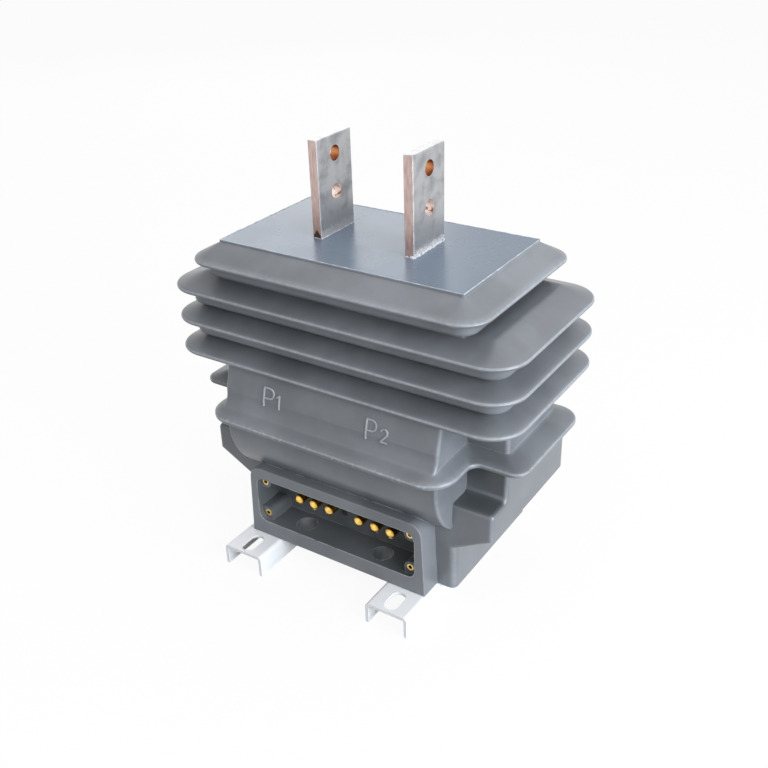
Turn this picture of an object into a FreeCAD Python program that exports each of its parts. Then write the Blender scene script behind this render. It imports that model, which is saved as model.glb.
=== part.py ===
"""Outdoor cast-resin current transformer on two channel feet.

X runs from terminal P1 to terminal P2, the terminal box faces -Y, Z is up.
The origin lies on the ground under the middle of the sheds. Sizes are in mm.
"""
import math
import os
import FreeCAD
import Part
from FreeCAD import Vector

os.makedirs("parts", exist_ok=True)

# feet: two inverted channels that run front to back
CHANNEL_X = (-91.5, 84.3)
CHANNEL_WIDTH = 46.5
CHANNEL_HEIGHT = 23.0
CHANNEL_LENGTH = 267.0
CHANNEL_GAUGE = 3.0
CHANNEL_BEND = 4.0
SLOT_WIDTH = 15.0
SLOT_RUN = 12.0
SLOT_END = 17.0
SLOT_Y = CHANNEL_LENGTH / 2 - SLOT_END

# screws that hold the body down on the feet
SCREW_Y = 50.0
SCREW_D = 10.0
SCREW_LENGTH = 23.0
SCREW_HEAD_H = 6.4
SCREW_HEAD_AF = 17.0
SCREW_HOLE_D = 11.0
WASHER_D = 20.0
WASHER_HOLE_D = 10.6
WASHER_T = 2.0
BUSH_AF = 16.0
BUSH_L = 24.0
BUSH_BORE_L = 21.0

# body heights above the ground
BODY_HEIGHT = 314.0
BODY_BASE = CHANNEL_HEIGHT
BODY_TOP = BODY_BASE + BODY_HEIGHT

# top plate and shed 1 share one pair of corner centres
TOP_CX = 130.1
TOP_CY = 70.7
TOP_R = 2.5
SHED1_R = 28.0
SHED1_SLOPE = 28.1
SHED1_LIP_R = 15.2
SHED1_LIP_DROP = 13.5
SHED1_DROP = 19.6

# sheds 2 to 4 are alike
SHED_CX = 155.0
SHED_CY = 64.0
SHED_R = 35.0
SHED_NECK_R = 3.0
SHED_LIP_R = 19.0
SHED_LIP_DROP = 16.2
SHED_SLOPE = 20.0
SHED_PITCH = 33.0
SHED2_DROP = 52.5
SHED4_DROP = SHED2_DROP + 2 * SHED_PITCH
NOSE_R = 2.2
LIP_EDGE_R = 3.0
JOIN = 1.5

# front block with its belly, wide block, plinth
FRONT_X = 122.0
FRONT_TOP_Y = -90.3
PANEL_LOW_Y = -98.5
PANEL_HEIGHT = 30.0
FLARE_HALF = (3.1, 12.5)
FLARE_Y = -108.5
FLARE_ABOVE_SHED5 = 7.1
FRONT_EDGE_R = 3.5
BELLY_Y = -101.5
BELLY_R = 70.0
BELLY_BELOW_SHED5 = 13.4
CORE_Y = -30.0
WIDE_X = 164.5
UPPER_Y = (-45.0, 52.5)
LOWER_Y = (-72.5, 82.5)
LEDGE_DROP = 213.5
REAR_LEDGE_DROP = 193.0
LEDGE_EDGE_R = 5.0
LEDGE_ROOT_R = 6.0
FLANK_DROP = 243.5
FLANK_SEAM = 8.0
PLINTH_DROP = 264.6
PLINTH_X = 125.5
PLINTH_EDGE_R = 7.0
BLOCK_EDGE_R = 4.5

# shed 5 follows the stepped body below it
SHED5_DROP = 173.6
SHED5_NOSE = 2 * NOSE_R
SHED5_RISE = 8.4
SHED5_SIDE = 15.5
SHED5_FRONT = 20.0
SHED5_END = 22.5
SHED5_STEP = 16.0
SHED5_REAR = 21.5
NECK5 = dict(xa=FRONT_X, ya=-99.0, ra=7.0, xb=WIDE_X, yb=UPPER_Y[0], yr=UPPER_Y[1], rb=3.0, rc=3.0, rd=3.0)
SHED5_CORNER_R = 14.0
RIM5 = dict(ra=30.0, rc=9.0, rd=25.0)
RIM5["xa"] = NECK5["xa"] + SHED5_SIDE
RIM5["ya"] = NECK5["ya"] - SHED5_FRONT
RIM5["xb"] = NECK5["xb"] + SHED5_END
RIM5["rb"] = min(SHED5_CORNER_R, RIM5["xb"] - RIM5["xa"] - RIM5["rc"] - JOIN)
RIM5["yb"] = NECK5["yb"] - SHED5_STEP
RIM5["yr"] = NECK5["yr"] + SHED5_REAR

# terminal box
BOX_FRONT_Y = -97.2
BOX_DEPTH = 37.2
BOX_TOP_X = 102.5
BOX_BASE_X = 106.0
BOX_TOP_DROP = 232.0
BOX_CORNER_R = 14.0
RECESS_X = 95.0
RECESS_TOP_DROP = 244.0
RECESS_FLOOR_DROP = 296.5
RECESS_DEPTH = 35.0
RECESS_BACK_Y = BOX_FRONT_Y + RECESS_DEPTH
RECESS_R = 9.0
BOSS_FROM_SIDE = 7.7
BOSS_FROM_TOP = 6.0
BOSS_FROM_FLOOR = 8.0
BOSS_X = RECESS_X - BOSS_FROM_SIDE
BOSS_DROPS = (RECESS_TOP_DROP + BOSS_FROM_TOP, RECESS_FLOOR_DROP - BOSS_FROM_FLOOR)
BOSS_R = 6.5
BOSS_SET = 5.0
INSERT_R = 3.6
INSERT_L = 14.0
INSERT_BORE_R = 2.1
INSERT_BORE_L = 11.0
GLAND_X = 47.0
GLAND_INSET = 17.8
GLAND_R = 11.0

# secondary terminals in the box
STUD_X = (-55.7, -37.4, -18.2, 18.2, 37.4, 55.7)
STUD_FROM_TOP = 25.5
STUD_DROP = RECESS_TOP_DROP + STUD_FROM_TOP
STUD_R = 5.25
STUD_OUT = 19.0
STUD_DOME = 2.0
SHANK_R = 4.0
SHANK_L = 14.0
SHANK_END_Y = RECESS_BACK_Y + SHANK_L
COLLAR_AF = 11.0
COLLAR_T = 4.0
COLLAR_SET = 6.0
LEAD_R = 1.4
LEAD_SEAT = 2.0

# primary terminals
BAR_X = (-51.5, 50.2)
BAR_T = 10.0
BAR_Y = (-25.0, 29.0)
BAR_ABOVE = 93.0
BAR_ROOT = 45.0
BAR_EDGE = 0.6
BAR_HOLE_R = 7.5
BAR_HOLE_Y = 2.5
BAR_HOLE_ABOVE = (39.5, 75.5)

# inner parts: primary turn, two ring cores with their windings
TURN_T = 10.0
TURN_W = 30.0
TURN_X = 85.0
RING_DROP = 230.0
RING_W = 40.0
RING_GAP = 8.0
RING_X = (-(RING_W + RING_GAP) / 2, (RING_W + RING_GAP) / 2)

# the windings lie between the studs' shanks and the resin wall behind them
SHANK_CLEARANCE = 4.0
WINDING_COVER = 6.0
RING_FRONT_Y = SHANK_END_Y + SHANK_CLEARANCE
RING_BACK_Y = UPPER_Y[1] - WINDING_COVER
RING_Y = (RING_FRONT_Y + RING_BACK_Y) / 2
WINDING_R = (22.0, (RING_BACK_Y - RING_FRONT_Y) / 2)
WINDING_WALL = 4.0
TAP_PITCH = 9.0

FRONT = -1
BACK = 1


def level(drop):
    """Height above the ground of a point that lies drop below the top plate."""
    return BODY_TOP - drop


def box(x0, x1, y0, y1, z0, z1):
    """Box between two opposite corners."""
    return Part.makeBox(x1 - x0, y1 - y0, z1 - z0, Vector(x0, y0, z0))


def rounded_block(half_x, half_y, radius, z0, z1):
    """Upright block with four round corners, centred on the axis."""
    block = box(-half_x, half_x, -half_y, half_y, z0, z1)
    upright = [e for e in block.Edges if abs(e.Vertexes[0].Z - e.Vertexes[1].Z) > 1]
    return block.makeFillet(radius, upright)


def shed_section(inner, rim, z_low, slope):
    """Closed section of a shed, radius along X and height along Z."""
    angle = math.radians(slope)
    centre_r = rim - NOSE_R
    centre_z = z_low + NOSE_R
    touch_r = centre_r + NOSE_R * math.sin(angle)
    touch_z = centre_z + NOSE_R * math.cos(angle)
    root_z = touch_z + (touch_r - inner) * math.tan(angle)
    low = Vector(centre_r, 0, z_low)
    tip = Vector(rim, 0, centre_z)
    touch = Vector(touch_r, 0, touch_z)
    root = Vector(inner, 0, root_z)
    foot = Vector(inner, 0, z_low)
    edges = [Part.Arc(low, tip, touch).toShape()]
    edges.append(Part.makeLine(touch, root))
    edges.append(Part.makeLine(root, foot))
    edges.append(Part.makeLine(foot, low))
    return Part.Face(Part.Wire(edges)), root_z


def lip_section(inner, rim, z_low, z_high):
    """Closed section of the drip lip under a shed: upright wall, round lower edge."""
    k = LIP_EDGE_R * (1 - math.sqrt(0.5))
    low = Vector(rim - LIP_EDGE_R, 0, z_low)
    bend = Vector(rim - k, 0, z_low + k)
    side = Vector(rim, 0, z_low + LIP_EDGE_R)
    edges = [Part.Arc(low, bend, side).toShape()]
    edges.append(Part.makeLine(side, Vector(rim, 0, z_high)))
    edges.append(Part.makeLine(Vector(rim, 0, z_high), Vector(inner, 0, z_high)))
    edges.append(Part.makeLine(Vector(inner, 0, z_high), Vector(inner, 0, z_low)))
    edges.append(Part.makeLine(Vector(inner, 0, z_low), low))
    return Part.Face(Part.Wire(edges)), z_high


def shed(cx, cy, inner, rim, drop, slope):
    """Shed round the corner centres (cx, cy)."""
    section, root_z = shed_section(inner, rim, level(drop), slope)
    return carried_round(cx, cy, inner, section, level(drop), root_z)


def lip(cx, cy, inner, rim, drop, depth):
    """Drip lip below the shed whose underside lies drop below the top plate."""
    section, root_z = lip_section(inner, rim, level(drop + depth), level(drop - 1.0))
    return carried_round(cx, cy, inner, section, level(drop + depth), root_z)


def carried_round(cx, cy, inner, section, z_low, root_z):
    """Section carried round the corner centres: four sides, four corners and a core."""
    solid = rounded_block(cx + inner, cy + inner, inner, z_low, root_z)
    axis = Vector(0, 0, 1)
    corners = [(cx, cy, 0), (-cx, cy, 90), (-cx, -cy, 180), (cx, -cy, 270)]
    runs = [2 * cx, 2 * cy, 2 * cx, 2 * cy]
    pieces = []
    for (x, y, turn), run in zip(corners, runs):
        placed = section.copy()
        placed.rotate(Vector(0, 0, 0), axis, turn)
        placed.translate(Vector(x, y, 0))
        pieces.append(placed.revolve(Vector(x, y, 0), axis, 90))
        end = section.copy()
        end.rotate(Vector(0, 0, 0), axis, turn + 90)
        end.translate(Vector(x, y, 0))
        along = Vector(-math.cos(math.radians(turn)), -math.sin(math.radians(turn)), 0)
        pieces.append(end.extrude(along * run))
    return solid.fuse(pieces).removeSplitter()


def stepped_outline(size, z):
    """Closed outline of shed 5 and of its neck, front block and wide block in one."""
    xa, ya, ra = size["xa"], size["ya"], size["ra"]
    xb, yb, rb = size["xb"], size["yb"], size["rb"]
    yr, rc, rd = size["yr"], size["rc"], size["rd"]
    k = math.sqrt(0.5)
    half = [
        ((xa - ra, ya), (xa - ra + k * ra, ya + ra - k * ra), (xa, ya + ra)),
        ((xa, yb - rc), (xa + rc - k * rc, yb - rc + k * rc), (xa + rc, yb)),
        ((xb - rb, yb), (xb - rb + k * rb, yb + rb - k * rb), (xb, yb + rb)),
        ((xb, yr - rd), (xb - rd + k * rd, yr - rd + k * rd), (xb - rd, yr)),
    ]
    mirrored = [tuple((-x, y) for x, y in reversed(arc)) for arc in reversed(half)]
    arcs = half + mirrored
    edges = []
    for i, arc in enumerate(arcs):
        points = [Vector(x, y, z) for x, y in arc]
        edges.append(Part.Arc(*points).toShape())
        following = arcs[(i + 1) % len(arcs)][0]
        edges.append(Part.makeLine(points[2], Vector(following[0], following[1], z)))
    return Part.Wire(edges)


def shed_five():
    """Wavy lowest shed with a rounded nose."""
    z_low = level(SHED5_DROP)
    rim = stepped_outline(RIM5, z_low)
    plate = Part.Face(rim).extrude(Vector(0, 0, SHED5_NOSE))
    upper_rim = stepped_outline(RIM5, z_low + SHED5_NOSE)
    neck = stepped_outline(NECK5, z_low + SHED5_NOSE + SHED5_RISE)
    slope = Part.makeLoft([upper_rim, neck], True, True)
    solid = plate.fuse(slope).removeSplitter()
    z_high = z_low + SHED5_NOSE
    rims = [e for e in solid.Edges if on_level(e, z_low)]
    tops = [e for e in solid.Edges if on_level(e, z_high)]
    solid = solid.makeFillet(NOSE_R - 0.3, rims + tops)
    return solid


def on_level(edge, z):
    """True when the whole edge lies in the level plane z."""
    return abs(edge.BoundBox.ZMin - z) < 0.01 and abs(edge.BoundBox.ZMax - z) < 0.01


def is_upright(edge):
    """True for a straight edge that stands along Z."""
    bb = edge.BoundBox
    return bb.ZMax - bb.ZMin > 1 and bb.XMax - bb.XMin < 0.01 and bb.YMax - bb.YMin < 0.01


def extrude_outline(edges, along):
    """Solid swept by a closed outline."""
    return Part.Face(Part.Wire(edges)).extrude(along)


def line(p, q):
    return Part.makeLine(Vector(*p), Vector(*q))


def front_block():
    """Front block: leaning face, flare into shed 5 and the round belly below it."""
    x = -FRONT_X
    top = level(SHED4_DROP - JOIN)
    panel_low = top - PANEL_HEIGHT
    flare_end = level(SHED5_DROP - FLARE_ABOVE_SHED5)
    in_shed = level(SHED5_DROP - JOIN)
    belly_top = level(SHED5_DROP + BELLY_BELOW_SHED5)
    belly_low_y = LOWER_Y[0]
    centre_y = BELLY_Y + BELLY_R
    fall = math.sqrt(BELLY_R ** 2 - (centre_y - belly_low_y) ** 2)
    belly_low = belly_top - fall
    mid = 0.5 * math.acos((centre_y - belly_low_y) / BELLY_R)
    mid_y = centre_y - BELLY_R * math.cos(mid)
    mid_z = belly_top - BELLY_R * math.sin(mid)
    a = (x, FRONT_TOP_Y, top)
    b = (x, PANEL_LOW_Y, panel_low)
    flare = (x, PANEL_LOW_Y - FLARE_HALF[0], panel_low - FLARE_HALF[1])
    c = (x, FLARE_Y, flare_end)
    d = (x, FLARE_Y, in_shed)
    e = (x, BELLY_Y, in_shed)
    f = (x, BELLY_Y, belly_top)
    g = (x, belly_low_y, belly_low)
    h = (x, CORE_Y, belly_low)
    i = (x, CORE_Y, top)
    edges = [line(a, b)]
    edges.append(Part.Arc(Vector(*b), Vector(*flare), Vector(*c)).toShape())
    edges.append(line(c, d))
    edges.append(line(d, e))
    edges.append(line(e, f))
    edges.append(Part.Arc(Vector(*f), Vector(x, mid_y, mid_z), Vector(*g)).toShape())
    edges.append(line(g, h))
    edges.append(line(h, i))
    edges.append(line(i, a))
    solid = extrude_outline(edges, Vector(2 * FRONT_X, 0, 0))
    sides = []
    for edge in solid.Edges:
        bb = edge.BoundBox
        flat = bb.XMax - bb.XMin < 0.01
        tall = bb.ZMax - bb.ZMin > 12
        if flat and tall and bb.YMin < -60:
            sides.append(edge)
    return solid.makeFillet(FRONT_EDGE_R, sides)


def lower_block():
    """Sloping flanks and plinth under the wide block, as one prism along Y."""
    y = LOWER_Y[0]
    depth = LOWER_Y[1] - LOWER_Y[0]
    seam = level(FLANK_DROP) + FLANK_SEAM
    right = [(WIDE_X, seam), (WIDE_X, level(FLANK_DROP))]
    right += [(PLINTH_X, level(PLINTH_DROP)), (PLINTH_X, BODY_BASE)]
    left = [(-x, z) for x, z in reversed(right)]
    corners = [Vector(x, y, z) for x, z in right + left]
    outline = Part.makePolygon(corners + corners[:1])
    solid = Part.Face(outline).extrude(Vector(0, depth, 0))
    plinth_top = level(PLINTH_DROP)
    corners = [e for e in solid.Edges if is_upright(e) and e.BoundBox.ZMax < plinth_top + 1]
    solid = solid.makeFillet(PLINTH_EDGE_R, corners)
    rounded = []
    for edge in solid.Edges:
        bb = edge.BoundBox
        at_face = bb.YMax < LOWER_Y[0] + 0.01 or bb.YMin > LOWER_Y[1] - 0.01
        if at_face and bb.ZMin > plinth_top - 1 and not on_level(edge, seam):
            rounded.append(edge)
    return solid.makeFillet(BLOCK_EDGE_R, rounded)


def wide_block():
    """Wide block in side view: front ledge, wall up to shed 4, higher rear ledge."""
    seam = level(FLANK_DROP) + FLANK_SEAM
    ledge = level(LEDGE_DROP)
    rear_ledge = level(REAR_LEDGE_DROP)
    top = level(SHED4_DROP - JOIN)
    side = [(LOWER_Y[0], seam), (LOWER_Y[0], ledge), (UPPER_Y[0], ledge), (UPPER_Y[0], top)]
    side += [(UPPER_Y[1], top), (UPPER_Y[1], rear_ledge), (LOWER_Y[1], rear_ledge), (LOWER_Y[1], seam)]
    corners = [Vector(-WIDE_X, y, z) for y, z in side]
    outline = Part.makePolygon(corners + corners[:1])
    solid = Part.Face(outline).extrude(Vector(2 * WIDE_X, 0, 0))
    roots = [e for e in solid.Edges if runs_at(e, UPPER_Y[0], ledge) or runs_at(e, UPPER_Y[1], rear_ledge)]
    solid = solid.makeFillet(LEDGE_ROOT_R, roots)
    brinks = [e for e in solid.Edges if runs_at(e, LOWER_Y[0], ledge) or runs_at(e, LOWER_Y[1], rear_ledge)]
    solid = solid.makeFillet(LEDGE_EDGE_R, brinks)
    rounded = []
    for edge in solid.Edges:
        bb = edge.BoundBox
        at_side = bb.XMax < 0.01 - WIDE_X or bb.XMin > WIDE_X - 0.01
        if at_side and not on_level(edge, seam) and not on_level(edge, top):
            rounded.append(edge)
    return solid.makeFillet(BLOCK_EDGE_R, rounded)


def runs_at(edge, y, z):
    """True when the whole edge runs along X at this y and z."""
    bb = edge.BoundBox
    at_y = abs(bb.YMin - y) < 0.01 and abs(bb.YMax - y) < 0.01
    return at_y and abs(bb.ZMin - z) < 0.01 and abs(bb.ZMax - z) < 0.01


def terminal_box():
    """Solid outside of the terminal box, slightly wider at its base."""
    y = BOX_FRONT_Y
    top = level(BOX_TOP_DROP)
    corners = [Vector(-BOX_BASE_X, y, BODY_BASE), Vector(BOX_BASE_X, y, BODY_BASE)]
    corners += [Vector(BOX_TOP_X, y, top), Vector(-BOX_TOP_X, y, top)]
    face = Part.Face(Part.makePolygon(corners + corners[:1]))
    solid = face.extrude(Vector(0, BOX_DEPTH, 0))
    shoulders = []
    for edge in solid.Edges:
        bb = edge.BoundBox
        if bb.YMax - bb.YMin > 10 and bb.ZMin > top - 1:
            shoulders.append(edge)
    solid = solid.makeFillet(BOX_CORNER_R, shoulders)
    front = [e for e in solid.Edges if e.BoundBox.YMax < y + 0.01]
    return solid.makeFillet(0.8, front)


def boss_places():
    return [(s * BOSS_X, level(d)) for s in (-1, 1) for d in BOSS_DROPS]


def corner_boss(x, z):
    """Round boss and the two webs that join it to the nearest walls of the recess."""
    face_y = BOX_FRONT_Y + BOSS_SET
    end_y = RECESS_BACK_Y + 1
    upper = z > level(0.5 * (BOSS_DROPS[0] + BOSS_DROPS[1]))
    wall_x = math.copysign(RECESS_X + 1, x)
    wall_z = level(RECESS_TOP_DROP) + 1 if upper else level(RECESS_FLOOR_DROP) - 1
    near_x = x - math.copysign(BOSS_R, x)
    near_z = z - BOSS_R if upper else z + BOSS_R
    post = Part.makeCylinder(BOSS_R, end_y - face_y, Vector(x, face_y, z), Vector(0, 1, 0))
    side_web = box(*sorted((x, wall_x)), face_y, end_y, *sorted((near_z, wall_z)))
    floor_web = box(*sorted((near_x, wall_x)), face_y, end_y, *sorted((z, wall_z)))
    return [post, side_web, floor_web]


def box_cavity():
    """Hollow of the terminal box, with the four corner bosses left standing."""
    z0 = level(RECESS_FLOOR_DROP)
    z1 = level(RECESS_TOP_DROP)
    hollow = box(-RECESS_X, RECESS_X, BOX_FRONT_Y - 2, RECESS_BACK_Y, z0, z1)
    along = [e for e in hollow.Edges if e.BoundBox.YMax - e.BoundBox.YMin > 10]
    hollow = hollow.makeFillet(RECESS_R, along)
    bosses = []
    for x, z in boss_places():
        bosses += corner_boss(x, z)
    hollow = hollow.cut(bosses)
    glands = []
    for s in (-1, 1):
        low = Vector(s * GLAND_X, BOX_FRONT_Y + GLAND_INSET, BODY_BASE - 1)
        glands.append(Part.makeCylinder(GLAND_R, z0 - BODY_BASE + 2, low))
    return hollow.fuse(glands)


def turned(points, base, axis):
    """Body turned from (radius, length) points; the axis starts at base."""
    wire = Part.makePolygon([Vector(r, 0, t) for r, t in points + points[:1]])
    solid = Part.Face(wire).revolve(Vector(0, 0, 0), Vector(0, 0, 1), 360)
    solid.Placement = FreeCAD.Placement(base, FreeCAD.Rotation(Vector(0, 0, 1), axis))
    return solid


def cover_insert(x, z):
    """Threaded brass insert in a corner boss of the terminal box."""
    y = BOX_FRONT_Y + BOSS_SET
    points = [(INSERT_BORE_R, 0), (INSERT_R, 0), (INSERT_R, INSERT_L), (0, INSERT_L)]
    points += [(0, INSERT_BORE_L), (INSERT_BORE_R, INSERT_BORE_L)]
    return turned(points, Vector(x, y, z), Vector(0, 1, 0))


def stud(x):
    """Brass secondary terminal: domed post outside, anchored shank inside."""
    tip_y = RECESS_BACK_Y - STUD_OUT
    ball = (STUD_R ** 2 + STUD_DOME ** 2) / (2 * STUD_DOME)
    half = 0.5 * math.asin(STUD_R / ball)
    total = STUD_OUT + SHANK_L
    middle = Vector(ball * math.sin(half), 0, ball - ball * math.cos(half))
    edges = [Part.Arc(Vector(0, 0, 0), middle, Vector(STUD_R, 0, STUD_DOME)).toShape()]
    outline = [(STUD_R, STUD_DOME), (STUD_R, STUD_OUT), (SHANK_R, STUD_OUT)]
    outline += [(SHANK_R, total), (0, total), (0, 0)]
    for (r0, t0), (r1, t1) in zip(outline, outline[1:]):
        edges.append(line((r0, 0, t0), (r1, 0, t1)))
    face = Part.Face(Part.Wire(edges))
    post = face.revolve(Vector(0, 0, 0), Vector(0, 0, 1), 360)
    collar = hexagon(COLLAR_AF, COLLAR_T, Vector(0, 0, STUD_OUT + COLLAR_SET))
    solid = post.fuse(collar)
    place = Vector(x, tip_y, level(STUD_DROP))
    solid.Placement = FreeCAD.Placement(place, FreeCAD.Rotation(Vector(0, 0, 1), Vector(0, 1, 0)))
    return solid


def terminal_bar(x):
    """Flat primary terminal with two bolt holes; its root is cast in."""
    solid = box(x - BAR_T / 2, x + BAR_T / 2, BAR_Y[0], BAR_Y[1], level(BAR_ROOT), BODY_TOP + BAR_ABOVE)
    solid = solid.makeChamfer(BAR_EDGE, [e for e in solid.Edges if e.BoundBox.ZMax > BODY_TOP])
    for above in BAR_HOLE_ABOVE:
        start = Vector(x - BAR_T, BAR_HOLE_Y, BODY_TOP + above)
        solid = solid.cut(Part.makeCylinder(BAR_HOLE_R, 2 * BAR_T, start, Vector(1, 0, 0)))
    return solid


def primary_turn():
    """Flat copper turn that runs from one terminal through both cores to the other."""
    y0 = RING_Y - TURN_W / 2
    low = RING_DROP
    path = [(BAR_X[0], BAR_ROOT), (BAR_X[0], 62.0), (-TURN_X, 100.0), (-TURN_X, low)]
    path += [(TURN_X, low), (TURN_X, 100.0), (BAR_X[1], 62.0), (BAR_X[1], BAR_ROOT)]
    pieces = []
    for (xa, da), (xb, db) in zip(path, path[1:]):
        start = Vector(xa, y0, level(da))
        end = Vector(xb, y0, level(db))
        run = end - start
        side = Vector(run.z, 0, -run.x).normalize() * (TURN_T / 2)
        corners = [start + side, end + side, end - side, start - side]
        face = Part.Face(Part.makePolygon(corners + corners[:1]))
        pieces.append(face.extrude(Vector(0, TURN_W, 0)))
    for x, d in path[1:-1]:
        pieces.append(Part.makeCylinder(TURN_T / 2, TURN_W, Vector(x, y0, level(d)), Vector(0, 1, 0)))
    return pieces[0].fuse(pieces[1:]).removeSplitter()


def ring(x, inner, outer, width):
    """Ring with a square section, axis along X, centred on x."""
    start = Vector(x - width / 2, RING_Y, level(RING_DROP))
    axis = Vector(1, 0, 0)
    disc = Part.makeCylinder(outer, width, start, axis)
    return disc.cut(Part.makeCylinder(inner, width, start, axis))


def core(x):
    wall = WINDING_WALL
    return ring(x, WINDING_R[0] + wall, WINDING_R[1] - wall, RING_W - 2 * wall)


def winding_outside(x):
    return ring(x, WINDING_R[0], WINDING_R[1], RING_W)


def lead(x_stud, x_ring, stud_solid, outside):
    """Wire from the shank of a stud to the nearest point round its winding."""
    start = Vector(x_stud, SHANK_END_Y - LEAD_SEAT, level(STUD_DROP))
    centre = Vector(x_ring, RING_Y, level(RING_DROP))
    outward = Vector(0, start.y - centre.y, start.z - centre.z).normalize()
    end = centre + outward * (WINDING_R[1] - LEAD_SEAT)
    run = end - start
    wire = Part.makeCylinder(LEAD_R, run.Length, start, run)
    wire = wire.cut([stud_solid, outside])
    return max(wire.Solids, key=lambda s: s.Volume)


def channel(x):
    """Inverted channel with a slot near each end and two screw holes."""
    w = CHANNEL_WIDTH / 2
    half = CHANNEL_LENGTH / 2
    outer = box(x - w, x + w, -half, half, 0, CHANNEL_HEIGHT)
    bends = [e for e in outer.Edges if e.BoundBox.YMax - e.BoundBox.YMin > 10 and e.BoundBox.ZMin > 1]
    outer = outer.makeFillet(CHANNEL_BEND, bends)
    g = CHANNEL_GAUGE
    inner = box(x - w + g, x + w - g, -half - 1, half + 1, -1, CHANNEL_HEIGHT - g)
    tops = [e for e in inner.Edges if e.BoundBox.YMax - e.BoundBox.YMin > 10 and e.BoundBox.ZMin > 1]
    inner = inner.makeFillet(CHANNEL_BEND - g, tops)
    tools = [inner]
    z0 = CHANNEL_HEIGHT - 2 * g
    cut = 3 * g
    for side in (FRONT, BACK):
        y = side * SLOT_Y
        r = SLOT_WIDTH / 2
        tools.append(box(x - r, x + r, y - SLOT_RUN / 2, y + SLOT_RUN / 2, z0, z0 + cut))
        for end in (-1, 1):
            tools.append(Part.makeCylinder(r, cut, Vector(x, y + end * SLOT_RUN / 2, z0)))
        tools.append(Part.makeCylinder(SCREW_HOLE_D / 2, cut, Vector(x, side * SCREW_Y, z0)))
    return outer.cut(tools)


def hexagon(across, height, base):
    r = across / math.sqrt(3)
    points = []
    for k in range(7):
        a = math.radians(60 * k)
        points.append(base + Vector(r * math.cos(a), r * math.sin(a), 0))
    return Part.Face(Part.makePolygon(points)).extrude(Vector(0, 0, height))


def base_screw(x, y):
    """Hexagon screw from below, through washer and channel into the bush."""
    seat = CHANNEL_HEIGHT - CHANNEL_GAUGE - WASHER_T
    head = hexagon(SCREW_HEAD_AF, SCREW_HEAD_H, Vector(x, y, seat - SCREW_HEAD_H))
    shank = Part.makeCylinder(SCREW_D / 2, SCREW_LENGTH, Vector(x, y, seat))
    return head.fuse(shank).removeSplitter()


def base_washer(x, y):
    seat = CHANNEL_HEIGHT - CHANNEL_GAUGE - WASHER_T
    disc = Part.makeCylinder(WASHER_D / 2, WASHER_T, Vector(x, y, seat))
    return disc.cut(Part.makeCylinder(WASHER_HOLE_D / 2, WASHER_T, Vector(x, y, seat)))


def bush_seat(x, y):
    return hexagon(BUSH_AF, BUSH_L, Vector(x, y, BODY_BASE))


def base_bush(x, y):
    """Threaded hexagon bush cast into the underside of the body."""
    bore = Part.makeCylinder(SCREW_D / 2, BUSH_BORE_L, Vector(x, y, BODY_BASE))
    return bush_seat(x, y).cut(bore)


def resin_outside():
    """Cast body before the seats of the inner parts are taken out of it."""
    top = rounded_block(TOP_CX + TOP_R, TOP_CY + TOP_R, TOP_R, level(SHED2_DROP + JOIN), BODY_TOP)
    sheds = [shed(TOP_CX, TOP_CY, TOP_R - 1.0, SHED1_R, SHED1_DROP, SHED1_SLOPE)]
    sheds.append(lip(TOP_CX, TOP_CY, TOP_R - 1.0, SHED1_LIP_R, SHED1_DROP, SHED1_LIP_DROP))
    for n in range(3):
        drop = SHED2_DROP + n * SHED_PITCH
        sheds.append(shed(SHED_CX, SHED_CY, SHED_NECK_R, SHED_R, drop, SHED_SLOPE))
        if n < 2:
            sheds.append(lip(SHED_CX, SHED_CY, SHED_NECK_R, SHED_LIP_R, drop, SHED_LIP_DROP))
    neck_x = SHED_CX + SHED_NECK_R
    neck_y = SHED_CY + SHED_NECK_R
    neck = rounded_block(neck_x, neck_y, SHED_NECK_R, level(SHED4_DROP), level(SHED2_DROP))
    pieces = sheds + [neck, shed_five(), front_block(), wide_block(), lower_block(), terminal_box()]
    return top.fuse(pieces).removeSplitter()


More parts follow.
